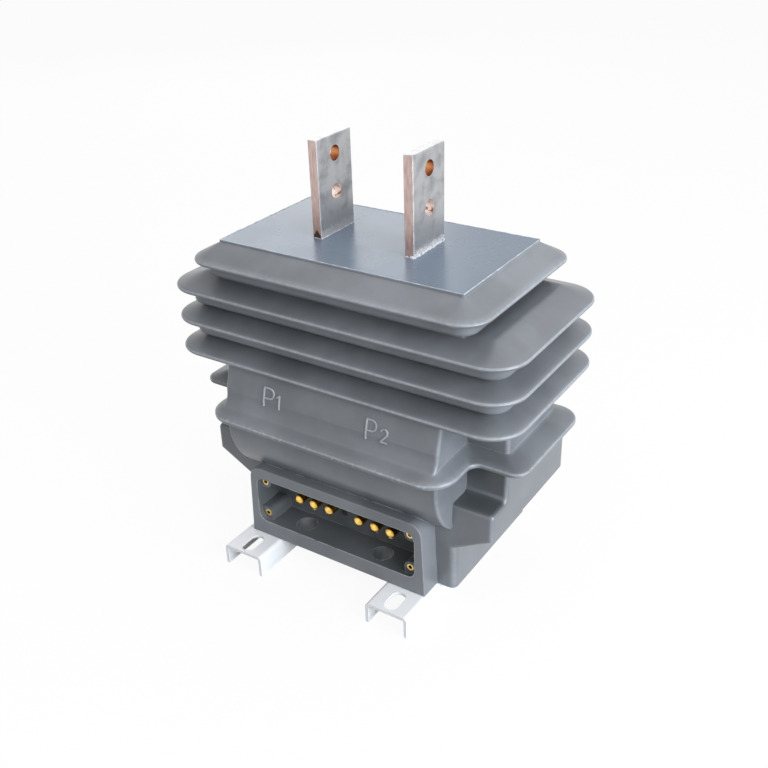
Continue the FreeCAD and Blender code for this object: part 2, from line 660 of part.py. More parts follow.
def main():
    made = {}
    made["primary_bar_p1"] = terminal_bar(BAR_X[0])
    made["primary_bar_p2"] = terminal_bar(BAR_X[1])
    made["primary_winding"] = primary_turn()
    names = ("measuring", "protection")
    outsides = []
    for name, x in zip(names, RING_X):
        outside = winding_outside(x)
        outsides.append(outside)
        made[name + "_core"] = core(x)
        made[name + "_winding"] = outside.cut(made[name + "_core"])
    for n, x in enumerate(STUD_X):
        post = stud(x)
        group = n // 3
        tap_x = RING_X[group] + (n % 3 - 1) * TAP_PITCH
        made["secondary_stud_%d" % (n + 1)] = post
        made["secondary_lead_%d" % (n + 1)] = lead(x, tap_x, post, outsides[group])
    for n, (x, z) in enumerate(boss_places()):
        made["cover_insert_%d" % (n + 1)] = cover_insert(x, z)
    count = 0
    for x in CHANNEL_X:
        for y in (-SCREW_Y, SCREW_Y):
            count += 1
            made["base_bush_%d" % count] = base_bush(x, y)
            made["base_washer_%d" % count] = base_washer(x, y)
            made["base_screw_%d" % count] = base_screw(x, y)
    made["channel_left"] = channel(CHANNEL_X[0])
    made["channel_right"] = channel(CHANNEL_X[1])

    body = resin_outside().cut(box_cavity())
    seats = [made["primary_bar_p1"], made["primary_bar_p2"], made["primary_winding"]] + outsides
    for n in range(1, 7):
        seats.append(made["secondary_stud_%d" % n])
        seats.append(made["secondary_lead_%d" % n])
    for n, (x, z) in enumerate(boss_places()):
        start = Vector(x, BOX_FRONT_Y + BOSS_SET, z)
        seats.append(Part.makeCylinder(INSERT_R, INSERT_L, start, Vector(0, 1, 0)))
    for x in CHANNEL_X:
        for y in (-SCREW_Y, SCREW_Y):
            seats.append(bush_seat(x, y))
    made["resin_body"] = body.cut(seats)
    for name, shape in sorted(made.items()):
        solids = shape.Solids
        shape = solids[0] if len(solids) == 1 else shape
        shape.exportStep("parts/" + name + ".step")
        print(name, len(solids), round(shape.Volume / 1000, 2), shape.isValid())


main()
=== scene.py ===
import math
import random

import bpy
from mathutils import Matrix, Vector
from mathutils.bvhtree import BVHTree


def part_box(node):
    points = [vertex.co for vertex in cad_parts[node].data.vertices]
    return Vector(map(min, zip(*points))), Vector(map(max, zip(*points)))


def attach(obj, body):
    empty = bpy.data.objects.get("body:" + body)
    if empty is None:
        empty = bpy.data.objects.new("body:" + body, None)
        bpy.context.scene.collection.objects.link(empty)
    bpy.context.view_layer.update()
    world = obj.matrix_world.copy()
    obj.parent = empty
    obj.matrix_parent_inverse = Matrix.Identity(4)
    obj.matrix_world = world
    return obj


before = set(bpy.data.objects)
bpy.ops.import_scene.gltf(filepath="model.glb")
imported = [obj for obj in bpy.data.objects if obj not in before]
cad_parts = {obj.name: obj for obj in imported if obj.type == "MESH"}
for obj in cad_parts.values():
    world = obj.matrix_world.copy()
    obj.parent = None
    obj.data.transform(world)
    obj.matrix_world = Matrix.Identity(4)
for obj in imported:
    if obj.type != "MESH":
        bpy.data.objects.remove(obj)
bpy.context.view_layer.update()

# The body is one casting of silica-filled epoxy resin: five sheds, the leaning front,
# the wide block and the terminal box. It leaves its mould satin grey, smoother on the
# top plate where the mould was polished. Its edges are painted pale, partly as rubbing
# in handling and partly as a painted highlight. The plate's bluish colour is a painted
# reflection, and the recess and side pockets carry painted shade.
RESIN_GREY = (0.150, 0.160, 0.176, 1)
RESIN_LIGHT = (0.205, 0.218, 0.239, 1)
RESIN_PLATE_REFLECTION = (0.155, 0.200, 0.265, 1)
RESIN_SHADE = (0.050, 0.060, 0.062, 1)
RESIN_PIT = (0.035, 0.036, 0.040, 1)
RESIN_RUB_AND_HIGHLIGHT = (0.42, 0.45, 0.49, 1)
RESIN_SHINE = (0.66, 0.69, 0.74, 1)
RESIN_ROUGH = (0.28, 0.38)
PLATE_SMOOTHER = 0.07
PLATE_SKIN = (0.0006, 0.0001)
RUB_AND_HIGHLIGHT_WIDTH = 0.0016
RUB_AND_HIGHLIGHT_SHARE = 0.55
BOX_HIGHLIGHT_SHARE = 0.8
RIM_DROPS = (0.0175, 0.0502, 0.0832, 0.1162, 0.1705)
RIM_REACH = 0.0050
CORNER_SHARE = 0.5
HIGHLIGHT_SHARES = (0.35, 0.55)
SCRATCH_SCALE = 260.0
SCUFF_REACH = 0.004
SCUFF_SHARE = 0.45
SHED_DROPS = (0.016, 0.178)
CREASE_RADIUS = 0.006
FRONT_TOP_DROP = 0.122
BOX_TOP_DROP = 0.229
BOX_BACK_Y = -0.075
BOX_RECESS = ((-0.0955, -0.0960, -0.3200), (0.0955, -0.0200, -0.2435))
RECESS_FAR_X = (0.030, 0.085)
RECESS_SHADES = (0.52, 0.87)
SIDE_POCKET = ((0.1215, -0.1100, -0.2145), (0.1700, -0.0440, -0.1760))
POCKET_WALL_Z = (-0.214, -0.182)
POCKET_FLOOR_Y = (-0.100, -0.060)
POCKET_FLOOR_SHADES = (0.25, 0.70)
POCKET_SHADE = 0.97
DARK_SPOT_PLACE = (-0.0105, 0.0580)
DARK_SPOT_REACH = 0.0055
SPOT_CORE = 0.4
resin_low, resin_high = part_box("resin_body")
plate_top = resin_high.z
front_rim_y = resin_low.y


def group_with(name, inputs, outputs):
    """Empty shader node group with named sockets, and its two end nodes."""
    tree = bpy.data.node_groups.new(name, "ShaderNodeTree")
    for label, value in inputs:
        socket = tree.interface.new_socket(label, in_out="INPUT", socket_type="NodeSocketFloat")
        socket.default_value = value
    for label in outputs:
        tree.interface.new_socket(label, in_out="OUTPUT", socket_type="NodeSocketFloat")
    start = tree.nodes.new("NodeGroupInput")
    end = tree.nodes.new("NodeGroupOutput")
    return tree, start, end


def add_node(tree, kind, **settings):
    """Node of one kind with its settings."""
    node = tree.nodes.new("ShaderNode" + kind)
    for key, value in settings.items():
        setattr(node, key, value)
    return node


def math_node(tree, operation, *values):
    """Math node whose inputs are sockets or numbers; its result socket."""
    node = add_node(tree, "Math", operation=operation)
    for socket, value in zip(node.inputs, values):
        if isinstance(value, (int, float)):
            socket.default_value = value
        else:
            tree.links.new(value, socket)
    return node.outputs[0]


def mixed_colour(tree, amount, first, second):
    """Colour between two colours or colour sockets by a mask; its result socket."""
    node = add_node(tree, "Mix", data_type="RGBA")
    tree.links.new(amount, node.inputs["Factor"])
    for label, value in (("A", first), ("B", second)):
        socket = next(s for s in node.inputs if s.name == label and s.type == "RGBA")
        if isinstance(value, tuple):
            socket.default_value = value
        else:
            tree.links.new(value, socket)
    return next(s for s in node.outputs if s.type == "RGBA")


def product(tree, *masks):
    """Mask that holds only where all of several masks do."""
    whole = masks[0]
    for mask in masks[1:]:
        whole = math_node(tree, "MULTIPLY", whole, mask)
    return whole


def union(tree, *masks):
    """Mask that holds where any of several masks does."""
    whole = masks[0]
    for mask in masks[1:]:
        whole = math_node(tree, "MAXIMUM", whole, mask)
    return whole


def between(tree, mask, low, high):
    """Value that goes from low to high as a mask goes from 0 to 1."""
    return math_node(tree, "MULTIPLY_ADD", mask, high - low, low)


def step_mask(tree, value, low, high):
    """Mask that goes smoothly from 0 at low to 1 at high."""
    node = add_node(tree, "MapRange", interpolation_type="SMOOTHSTEP")
    tree.links.new(value, node.inputs["Value"])
    node.inputs["From Min"].default_value = low
    node.inputs["From Max"].default_value = high
    return node.outputs["Result"]


def near_mask(tree, value, middle, reach):
    """Mask that is 1 where a value is at middle and 0 beyond reach of it."""
    away = math_node(tree, "ABSOLUTE", math_node(tree, "SUBTRACT", value, middle))
    return step_mask(tree, away, reach, SPOT_CORE * reach)


def within_mask(tree, place, low, high, blend=0.0015):
    """Mask that is 1 between two corners, with soft sides, for a place given by sockets."""
    sides = []
    for value, a, b in zip(place, low, high):
        away = math_node(tree, "ABSOLUTE", math_node(tree, "SUBTRACT", value, (a + b) / 2))
        sides.append(step_mask(tree, away, (b - a) / 2 + blend, (b - a) / 2))
    return product(tree, *sides)


def distance_from(tree, a, b, middle):
    """Distance from a middle, in two directions given by sockets."""
    aside = math_node(tree, "SUBTRACT", a, middle[0])
    along = math_node(tree, "SUBTRACT", b, middle[1])
    square = math_node(tree, "ADD", math_node(tree, "MULTIPLY", aside, aside),
                       math_node(tree, "MULTIPLY", along, along))
    return math_node(tree, "SQRT", square)


def object_place(tree):
    """X, Y and Z of a point on the piece, as three sockets, and the whole vector."""
    place = add_node(tree, "TexCoord")
    split = add_node(tree, "SeparateXYZ")
    tree.links.new(place.outputs["Object"], split.inputs[0])
    return split.outputs["X"], split.outputs["Y"], split.outputs["Z"], place.outputs["Object"]


def normal_parts(tree):
    """X, Y and Z of the way the surface faces, as three sockets."""
    shape = add_node(tree, "NewGeometry")
    split = add_node(tree, "SeparateXYZ")
    tree.links.new(shape.outputs["Normal"], split.inputs[0])
    return [split.outputs[axis] for axis in "XYZ"]


def facing(tree):
    """How far the surface faces along X, Y and Z, each from 0 to 1."""
    return [math_node(tree, "ABSOLUTE", part) for part in normal_parts(tree)]


def mottle_group():
    """Cloudy variation and fine grain of a cast, painted or plated surface."""
    tree, start, end = group_with(
        "surface_mottle", [("Cloud Scale", 14.0), ("Grain Scale", 900.0)], ["Cloud", "Grain"])
    vector = object_place(tree)[3]
    for label, detail in (("Cloud", 4.0), ("Grain", 2.0)):
        noise = add_node(tree, "TexNoise")
        noise.inputs["Detail"].default_value = detail
        tree.links.new(vector, noise.inputs["Vector"])
        tree.links.new(start.outputs[label + " Scale"], noise.inputs["Scale"])
        tree.links.new(noise.outputs["Fac"], end.inputs[label])
    return tree


def edge_group():
    """Mask of edges, from how far a rounded normal turns from the real one."""
    tree, start, end = group_with(
        "rubbed_edges", [("Radius", 0.001), ("Breakup", 60.0)], ["Mask"])
    bevel = add_node(tree, "Bevel", samples=6)
    tree.links.new(start.outputs["Radius"], bevel.inputs["Radius"])
    shape = add_node(tree, "NewGeometry")
    dot = add_node(tree, "VectorMath", operation="DOT_PRODUCT")
    tree.links.new(bevel.outputs["Normal"], dot.inputs[0])
    tree.links.new(shape.outputs["Normal"], dot.inputs[1])
    bent = math_node(tree, "SUBTRACT", 1.0, dot.outputs["Value"])
    sharp = step_mask(tree, bent, 0.01, 0.20)
    noise = add_node(tree, "TexNoise")
    tree.links.new(object_place(tree)[3], noise.inputs["Vector"])
    tree.links.new(start.outputs["Breakup"], noise.inputs["Scale"])
    broken = step_mask(tree, noise.outputs["Fac"], 0.28, 0.55)
    tree.links.new(math_node(tree, "MULTIPLY", sharp, broken), end.inputs["Mask"])
    return tree


def pit_group():
    """Mask of small round pits left by air bubbles, in clusters."""
    tree, start, end = group_with("air_pits", [("Pit Scale", 120.0), ("Share", 0.60)], ["Mask"])
    vector = object_place(tree)[3]
    cells = add_node(tree, "TexVoronoi")
    tree.links.new(vector, cells.inputs["Vector"])
    tree.links.new(start.outputs["Pit Scale"], cells.inputs["Scale"])
    dot = step_mask(tree, cells.outputs["Distance"], 0.085, 0.045)
    where = add_node(tree, "TexNoise")
    where.inputs["Scale"].default_value = 22.0
    tree.links.new(vector, where.inputs["Vector"])
    cluster = math_node(tree, "GREATER_THAN", where.outputs["Fac"], start.outputs["Share"])
    tree.links.new(math_node(tree, "MULTIPLY", dot, cluster), end.inputs["Mask"])
    return tree


surface_mottle = mottle_group()
rubbed_edges = edge_group()
air_pits = pit_group()


def material_with(name):
    """New node material: the material, its tree and its Principled shader."""
    made = bpy.data.materials.new(name)
    made.use_nodes = True
    return made, made.node_tree, made.node_tree.nodes["Principled BSDF"]


def placed_group(tree, group, **values):
    """Group node in a material, with the material's own values."""
    node = add_node(tree, "Group", node_tree=group)
    for label, value in values.items():
        node.inputs[label.replace("_", " ")].default_value = value
    return node


def bumped(tree, height, strength, distance, under=None):
    """Bump fed by a height, laid on another normal if one is given; its normal socket."""
    bump = add_node(tree, "Bump")
    bump.inputs["Strength"].default_value = strength
    bump.inputs["Distance"].default_value = distance
    tree.links.new(height, bump.inputs["Height"])
    if under is not None:
        tree.links.new(under, bump.inputs["Normal"])
    return bump.outputs["Normal"]


def dress(node_name, material):
    """Gives a carried-over node its material."""
    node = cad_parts[node_name]
    node.data.materials.clear()
    node.data.materials.append(material)
    return node


def painted_shade_places(tree, place, face_y, rise, recess):
    """Painted shade in the box's recess, most at its far end, and in the side pockets."""
    x, y, level = place
    far_end = between(tree, step_mask(tree, x, *RECESS_FAR_X), *RECESS_SHADES)
    in_pocket = within_mask(tree, (math_node(tree, "ABSOLUTE", x), y, level), *SIDE_POCKET)
    wall = product(tree, step_mask(tree, level, *POCKET_WALL_Z), face_y)
    back = between(tree, step_mask(tree, y, *POCKET_FLOOR_Y), *POCKET_FLOOR_SHADES)
    pocket_floor = product(tree, step_mask(tree, rise, 0.5, 0.8), back)
    pocket = product(tree, in_pocket, union(tree, wall, pocket_floor))
    pocket = math_node(tree, "MULTIPLY", pocket, POCKET_SHADE)
    return union(tree, product(tree, recess, far_end), pocket)


def painted_highlight_places(tree, z, level, face_x, face_y, rise, scratch):
    """Painted highlights on the shed rims and the upright corners, stronger in some spots."""
    rims = union(tree, *[near_mask(tree, z, plate_top - rim, RIM_REACH) for rim in RIM_DROPS])
    leaning_up = product(tree, step_mask(tree, rise, 0.02, 0.25),
                         step_mask(tree, rise, 0.96, 0.80))
    corner = step_mask(tree, math_node(tree, "MINIMUM", face_x, face_y), 0.15, 0.65)
    corner = product(tree, corner, math_node(tree, "LESS_THAN", level, -FRONT_TOP_DROP))
    corner = math_node(tree, "MULTIPLY", corner, CORNER_SHARE)
    uneven = between(tree, step_mask(tree, scratch, 0.35, 0.65), *HIGHLIGHT_SHARES)
    return product(tree, union(tree, product(tree, rims, leaning_up), corner), uneven)


def rim_scuffs(tree, y, z, scratch):
    """Scuffs on the foremost rim, that of the lowest shed."""
    at_rim = product(tree, near_mask(tree, y, front_rim_y, SCUFF_REACH),
                     near_mask(tree, z, plate_top - RIM_DROPS[-1], SCUFF_REACH))
    scuff = product(tree, at_rim, step_mask(tree, scratch, 0.56, 0.68))
    return math_node(tree, "MULTIPLY", scuff, SCUFF_SHARE)


def softened_creases(tree, level, rise):
    """Normal that rounds the creases on the tops of the sheds."""
    on_sheds = product(tree, math_node(tree, "LESS_THAN", level, -SHED_DROPS[0]),
                       math_node(tree, "GREATER_THAN", level, -SHED_DROPS[1]),
                       step_mask(tree, rise, 0.55, 0.80))
    rounded = add_node(tree, "Bevel", samples=8)
    rounded.inputs["Radius"].default_value = CREASE_RADIUS
    plain = add_node(tree, "NewGeometry")
    softened = add_node(tree, "Mix", data_type="VECTOR")
    factor, first, second = softened.inputs[0], softened.inputs[4], softened.inputs[5]
    tree.links.new(on_sheds, factor)
    tree.links.new(plain.outputs["Normal"], first)
    tree.links.new(rounded.outputs["Normal"], second)
    return softened.outputs[1]


resin, tree, shader = material_with("cast_resin")
mottle = placed_group(tree, surface_mottle, Cloud_Scale=16.0, Grain_Scale=1400.0)
edges = placed_group(tree, rubbed_edges, Radius=RUB_AND_HIGHLIGHT_WIDTH, Breakup=70.0)
pits = placed_group(tree, air_pits, Pit_Scale=150.0, Share=0.64)
scratches = add_node(tree, "TexNoise")
scratches.inputs["Scale"].default_value = SCRATCH_SCALE
scratches.inputs["Detail"].default_value = 6.0
x, y, z, vector = object_place(tree)
tree.links.new(vector, scratches.inputs["Vector"])
scratch = scratches.outputs["Fac"]
level = math_node(tree, "SUBTRACT", z, plate_top)
face_x, face_y = facing(tree)[:2]
rise = normal_parts(tree)[2]
recess = within_mask(tree, (x, y, level), *BOX_RECESS)
on_plate = step_mask(tree, z, plate_top - PLATE_SKIN[0], plate_top - PLATE_SKIN[1])
off_plate = math_node(tree, "SUBTRACT", 1.0, on_plate)

cloud = step_mask(tree, mottle.outputs["Cloud"], 0.32, 0.70)
colour = mixed_colour(tree, cloud, RESIN_GREY, RESIN_LIGHT)
# The plate's bluish colour is a painted reflection.
colour = mixed_colour(tree, on_plate, colour, RESIN_PLATE_REFLECTION)
# Painted shade in the terminal box's recess and in the side pockets.
painted_shade = painted_shade_places(tree, (x, y, level), face_y, rise, recess)
colour = mixed_colour(tree, painted_shade, colour, RESIN_SHADE)
# Edges painted pale, partly as rubbing and partly as a painted highlight.
worn_and_highlit = math_node(tree, "MULTIPLY", edges.outputs["Mask"], RUB_AND_HIGHLIGHT_SHARE)
# Painted highlights on the rims of the sheds and on the upright corners.
painted_highlight = painted_highlight_places(tree, z, level, face_x, face_y, rise, scratch)
colour = mixed_colour(tree, union(tree, worn_and_highlit, painted_highlight), colour, RESIN_RUB_AND_HIGHLIGHT)
# Painted highlight along the edges of the terminal box, outside its recess.
on_box = product(tree, math_node(tree, "LESS_THAN", level, -BOX_TOP_DROP),
                 math_node(tree, "LESS_THAN", y, BOX_BACK_Y),
                 math_node(tree, "SUBTRACT", 1.0, recess))
box_edge_highlight = product(tree, edges.outputs["Mask"], on_box)
box_edge_highlight = math_node(tree, "MULTIPLY", box_edge_highlight, BOX_HIGHLIGHT_SHARE)
colour = mixed_colour(tree, box_edge_highlight, colour, RESIN_SHINE)
# A dark round spot on the back wall of the box's recess.
from_dark_spot = distance_from(tree, x, z, DARK_SPOT_PLACE)
grime = step_mask(tree, from_dark_spot, DARK_SPOT_REACH, SPOT_CORE * DARK_SPOT_REACH)
colour = mixed_colour(tree, product(tree, grime, recess, face_y), colour, RESIN_PIT)
colour = mixed_colour(tree, rim_scuffs(tree, y, z, scratch), colour, RESIN_RUB_AND_HIGHLIGHT)
pitted = product(tree, pits.outputs["Mask"], off_plate)
colour = mixed_colour(tree, pitted, colour, RESIN_PIT)
tree.links.new(colour, shader.inputs["Base Color"])

rough = between(tree, cloud, *RESIN_ROUGH)
smoother = math_node(tree, "MULTIPLY", on_plate, PLATE_SMOOTHER)
tree.links.new(math_node(tree, "SUBTRACT", rough, smoother), shader.inputs["Roughness"])
relief = product(tree, math_node(tree, "SUBTRACT", mottle.outputs["Grain"], pitted), off_plate)
creases = softened_creases(tree, level, rise)
tree.links.new(bumped(tree, relief, 0.10, 0.0002, creases), shader.inputs["Normal"])
resin_body = dress("resin_body", resin)

# The plate's rim keeps the flash of the mould joint: a thin raised ridge of the same
# resin, cut back by hand after casting, so its height wanders. Its crest is painted
# pale, a painted highlight along the plate's edge.
FLASH_HIGHLIGHT = (0.66, 0.69, 0.74, 1)
FLASH_ROUGH = 0.42
FLASH_WIDTH = 0.0010
FLASH_HEIGHT = 0.00045
FLASH_WANDER = (0.3, 1.0)
FLASH_ROOT = 0.0003
FLASH_STEP = 0.003
FLASH_SEED = 11
PLATE_HALF = (0.1318, 0.0724)
resin_surface = BVHTree.FromObject(resin_body, bpy.context.evaluated_depsgraph_get())


def swept(name, path, section, closed=False):
    """Mesh of a section swept along (place, tangent, normal) stations."""
    vertices = []
    faces = []
    count = len(section(0))
    for i, (place, along, normal) in enumerate(path):
        side = along.cross(normal).normalized()
        vertices += [place + side * s + normal * h for s, h in section(i)]
    rings = len(path)
    for i in range(rings if closed else rings - 1):
        a = i * count
        b = ((i + 1) % rings) * count
        for k in range(count):
            j = (k + 1) % count
            faces.append((a + k, a + j, b + j, b + k))
    if not closed:
        faces.append(tuple(reversed(range(count))))
        faces.append(tuple(range((rings - 1) * count, rings * count)))
    mesh = bpy.data.meshes.new(name)
    mesh.from_pydata([tuple(v) for v in vertices], [], faces)
    mesh.validate()
    piece = bpy.data.objects.new(name, mesh)
    bpy.context.scene.collection.objects.link(piece)
    return piece


def finished(piece, material):
    """Material, slot and ride of a new piece."""
    piece.data.materials.append(material)
    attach(piece, "root")


def rectangle_stations(centre, half, z, step):
    """Stations round a level rectangle, counter-clockwise."""
    signs = [(-1, -1), (1, -1), (1, 1), (-1, 1)]
    points = [Vector((centre[0] + sx * half[0], centre[1] + sy * half[1], z)) for sx, sy in signs]
    stations = []
    for start, end in zip(points, points[1:] + points[:1]):
        run = end - start
        steps = max(2, round(run.length / step))
        for k in range(steps):
            stations.append((start + run * (k / steps), run.normalized(), Vector((0, 0, 1))))
    return stations


flash_random = random.Random(FLASH_SEED)
rim = rectangle_stations((0, 0), PLATE_HALF, plate_top, FLASH_STEP)
flash_heights = [FLASH_HEIGHT * flash_random.uniform(*FLASH_WANDER) for _ in rim]


def flash_section(i):
    """Section of the flash at one station: a low ridge with its root in the plate."""
    h = flash_heights[i]
    w = FLASH_WIDTH / 2
    return [(-w, -FLASH_ROOT), (-w * 0.6, h), (w * 0.5, h), (w, -FLASH_ROOT)]


flash_resin, tree, shader = material_with("flash_resin")
mottle = placed_group(tree, surface_mottle, Cloud_Scale=110.0, Grain_Scale=1500.0)
pale = step_mask(tree, mottle.outputs["Cloud"], 0.42, 0.66)
tree.links.new(mixed_colour(tree, pale, RESIN_RUB_AND_HIGHLIGHT, FLASH_HIGHLIGHT), shader.inputs["Base Color"])
shader.inputs["Roughness"].default_value = FLASH_ROUGH
tree.links.new(bumped(tree, mottle.outputs["Grain"], 0.3, 0.0003), shader.inputs["Normal"])
plate_flash = swept("plate_flash", rim, flash_section, closed=True)
finished(plate_flash, flash_resin)

# The terminals are marked on the leaning front with raised characters, the usual P1 and
# P2 of a current transformer. They were engraved in the mould, so they are the same
# resin. Their strokes are painted pale as a painted highlight, and a dark line of
# painted shade and grime lies round their foot.
MARK_GREY = (0.31, 0.33, 0.36, 1)
MARK_ROUGH = 0.30
MARK_STROKE = 0.0023
MARK_HEIGHT = 0.0011
MARK_SINK = 0.0005
MARK_STEP = 0.0012
SEAT_DARK = (0.060, 0.064, 0.070, 1)
SEAT_ROUGH = 0.45
SEAT_WIDTH = 0.0034
SEAT_HEIGHT = 0.00012
IN_FRONT_Y = -0.3


def arc_points(cx, cz, rx, rz, start, end, count=10):
    """Points (x, z) on part of an ellipse, angles in degrees."""
    points = []
    for k in range(count + 1):
        a = math.radians(start + (end - start) * k / count)
        points.append((cx + rx * math.cos(a), cz + rz * math.sin(a)))
    return points


def letter_p(left, right, low, high):
    """Strokes of a P: stem, then bowl."""
    middle = low + 0.46 * (high - low)
    half = (high - middle) / 2
    bowl = arc_points(right - half, high - half, half, half, 90, -90)
    return [[(left, low), (left, high)], [(left, high)] + bowl + [(left, middle)]]


def figure_one(left, right, low, high):
    """Strokes of a 1: stem, then flag."""
    flag = (left, high - 0.9 * (right - left))
    return [[(right, low), (right, high)], [flag, (right, high)]]


def figure_two(left, right, low, high):
    """Strokes of a 2: hook with its diagonal, then foot."""
    half = (right - left) / 2
    hook = arc_points(left + half, high - half, half, half, 165, -30)
    return [hook + [(left, low)], [(left, low), (right, low)]]


def surface_stations(points, step):
    """Stations along (x, z) points, laid on the front of the casting."""
    dense = []
    for (xa, za), (xb, zb) in zip(points, points[1:]):
        steps = max(1, round(math.hypot(xb - xa, zb - za) / step))
        dense += [(xa + (xb - xa) * k / steps, za + (zb - za) * k / steps) for k in range(steps)]
    dense.append(points[-1])
    laid = []
    for px, pz in dense:
        hit = resin_surface.ray_cast(Vector((px, IN_FRONT_Y, pz)), Vector((0, 1, 0)))
        laid.append((hit[0], hit[1]))
    stations = []
    for i, (place, normal) in enumerate(laid):
        before = laid[max(i - 1, 0)][0]
        after = laid[min(i + 1, len(laid) - 1)][0]
        stations.append((place, (after - before).normalized(), normal))
    return stations


def mark_section(_):
    """Section of a stroke: flat on top, with rounded shoulders."""
    w = MARK_STROKE / 2
    h = MARK_HEIGHT
    left = [(-w, -MARK_SINK), (-w * 0.8, h * 0.7), (-w * 0.4, h)]
    return left + [(w * 0.4, h), (w * 0.8, h * 0.7), (w, -MARK_SINK)]


def seat_section(_):
    """Section of the line of painted shade and grime: a skin a little wider than the stroke."""
    w = SEAT_WIDTH / 2
    return [(-w, -MARK_SINK), (-w * 0.8, SEAT_HEIGHT), (w * 0.8, SEAT_HEIGHT), (w, -MARK_SINK)]


# The strokes are painted pale, a painted highlight on the raised marks.
mark_resin, tree, shader = material_with("mark_resin")
mottle = placed_group(tree, surface_mottle, Cloud_Scale=60.0, Grain_Scale=1500.0)
cloud = step_mask(tree, mottle.outputs["Cloud"], 0.3, 0.7)
tree.links.new(mixed_colour(tree, cloud, RESIN_RUB_AND_HIGHLIGHT, MARK_GREY), shader.inputs["Base Color"])
shader.inputs["Roughness"].default_value = MARK_ROUGH
tree.links.new(bumped(tree, mottle.outputs["Grain"], 0.2, 0.0002), shader.inputs["Normal"])

# Painted shade with grime round the foot of each stroke.
seat_grime, tree, shader = material_with("seat_grime")
mottle = placed_group(tree, surface_mottle, Cloud_Scale=140.0, Grain_Scale=1500.0)
cloud = step_mask(tree, mottle.outputs["Cloud"], 0.35, 0.65)
tree.links.new(mixed_colour(tree, cloud, SEAT_DARK, RESIN_GREY), shader.inputs["Base Color"])
shader.inputs["Roughness"].default_value = SEAT_ROUGH
tree.links.new(bumped(tree, mottle.outputs["Grain"], 0.2, 0.0002), shader.inputs["Normal"])

marks = {
    "mark_p1_letter": letter_p(-0.0734, -0.0615, plate_top - 0.1519, plate_top - 0.1331),
    "mark_p1_figure": figure_one(-0.0577, -0.0547, plate_top - 0.1512, plate_top - 0.1372),
    "mark_p2_letter": letter_p(0.0458, 0.0564, plate_top - 0.1516, plate_top - 0.1327),
    "mark_p2_figure": figure_two(0.0618, 0.0688, plate_top - 0.1503, plate_top - 0.1376),
}
for name, strokes in marks.items():
    for n, stroke in enumerate(strokes):
        stations = surface_stations(stroke, MARK_STEP)
        finished(swept("%s_%d" % (name, n + 1), stations, mark_section), mark_resin)
        finished(swept("%s_%d_seat" % (name, n + 1), stations, seat_section), seat_grime)

# The primary terminals are flat copper bars, tinned before casting. Their narrow sides
# were sawn and their holes drilled afterwards, so bare copper shows there, and the tin
# on the broad sides is smudged, with resin dust baked on just above the plate.
TIN = (0.45, 0.45, 0.46, 1)
TIN_DULL = (0.29, 0.295, 0.305, 1)
TIN_HIGHLIGHT = (0.92, 0.90, 0.89, 1)
TIN_TOP_PAINTED_LIGHT = (0.56, 0.56, 0.57, 1)
TIN_ROUGH = (0.36, 0.52)
TIN_METALLIC = 0.80
DUST_HIDES = 0.9
BAR_EDGE_HIGHLIGHT_WIDTH = 0.0007
BAR_EDGE_HIGHLIGHT_SHARE = 0.9
COPPER_EDGE = (0.62, 0.49, 0.46, 1)
COPPER_EDGE_DARK = (0.40, 0.23, 0.18, 1)
SAW_STREAKS = (520.0, 520.0, 90.0)
STREAK_SHARE = 0.6
FOOT_HEIGHTS = (0.004, 0.040)
FOOT_BROWN = 0.3
FOOT_SMUDGE = 0.45
COPPER_DRILLED = (0.72, 0.31, 0.12, 1)
COPPER_PAINTED_SHADE = (0.30, 0.105, 0.04, 1)
COPPER_GLINT = (0.90, 0.78, 0.73, 1)
GLINT_SCALE = 260.0
HOLE_Y = 0.0025
HOLE_Z = (plate_top + 0.0395, plate_top + 0.0755)
HOLE_WALL = 0.0078
RESIDUE_WHITE = (0.66, 0.66, 0.68, 1)
RESIDUE_FADE = 0.0022
SAWN_RESIDUE = 0.2
FLUX_BROWN = (0.10, 0.055, 0.03, 1)
STAIN_HEIGHT = 0.009
STAIN_SLOPE = 1.4


def sawn_copper(tree, vector, foot):
    """Colour of the sawn sides, streaked along the bar and browner near the plate."""
    stretch = add_node(tree, "Mapping")
    stretch.inputs["Scale"].default_value = SAW_STREAKS
    tree.links.new(vector, stretch.inputs["Vector"])
    streak = add_node(tree, "TexNoise")
    streak.inputs["Scale"].default_value = 1.0
    tree.links.new(stretch.outputs["Vector"], streak.inputs["Vector"])
    streaked = step_mask(tree, streak.outputs["Fac"], 0.28, 0.75)
    brown = math_node(tree, "MULTIPLY_ADD", streaked, STREAK_SHARE,
                      math_node(tree, "MULTIPLY", foot, FOOT_BROWN))
    return mixed_colour(tree, brown, COPPER_EDGE, COPPER_EDGE_DARK)


def hole_walls(tree, y, z, face_x):
    """Mask of the walls of the drilled holes."""
    across = math_node(tree, "LESS_THAN", face_x, 0.6)
    near = [math_node(tree, "LESS_THAN", distance_from(tree, y, z, (HOLE_Y, hole_z)), HOLE_WALL)
            for hole_z in HOLE_Z]
    return product(tree, union(tree, *near), across)


def drilled_copper(tree, vector, z, face_z):
    """Colour of the holes' walls, with painted shade where they face up or down and painted
    glints in the lower one.
    """
    upright = step_mask(tree, face_z, 0.75, 0.15)
    walls = mixed_colour(tree, upright, COPPER_PAINTED_SHADE, COPPER_DRILLED)
    facets = add_node(tree, "TexVoronoi")
    facets.inputs["Scale"].default_value = GLINT_SCALE
    tree.links.new(vector, facets.inputs["Vector"])
    glint = step_mask(tree, facets.outputs["Distance"], 0.80, 0.55)
    lower_hole = step_mask(tree, z, sum(HOLE_Z) / 2, HOLE_Z[0])
    return mixed_colour(tree, product(tree, lower_hole, glint), walls, COPPER_GLINT)


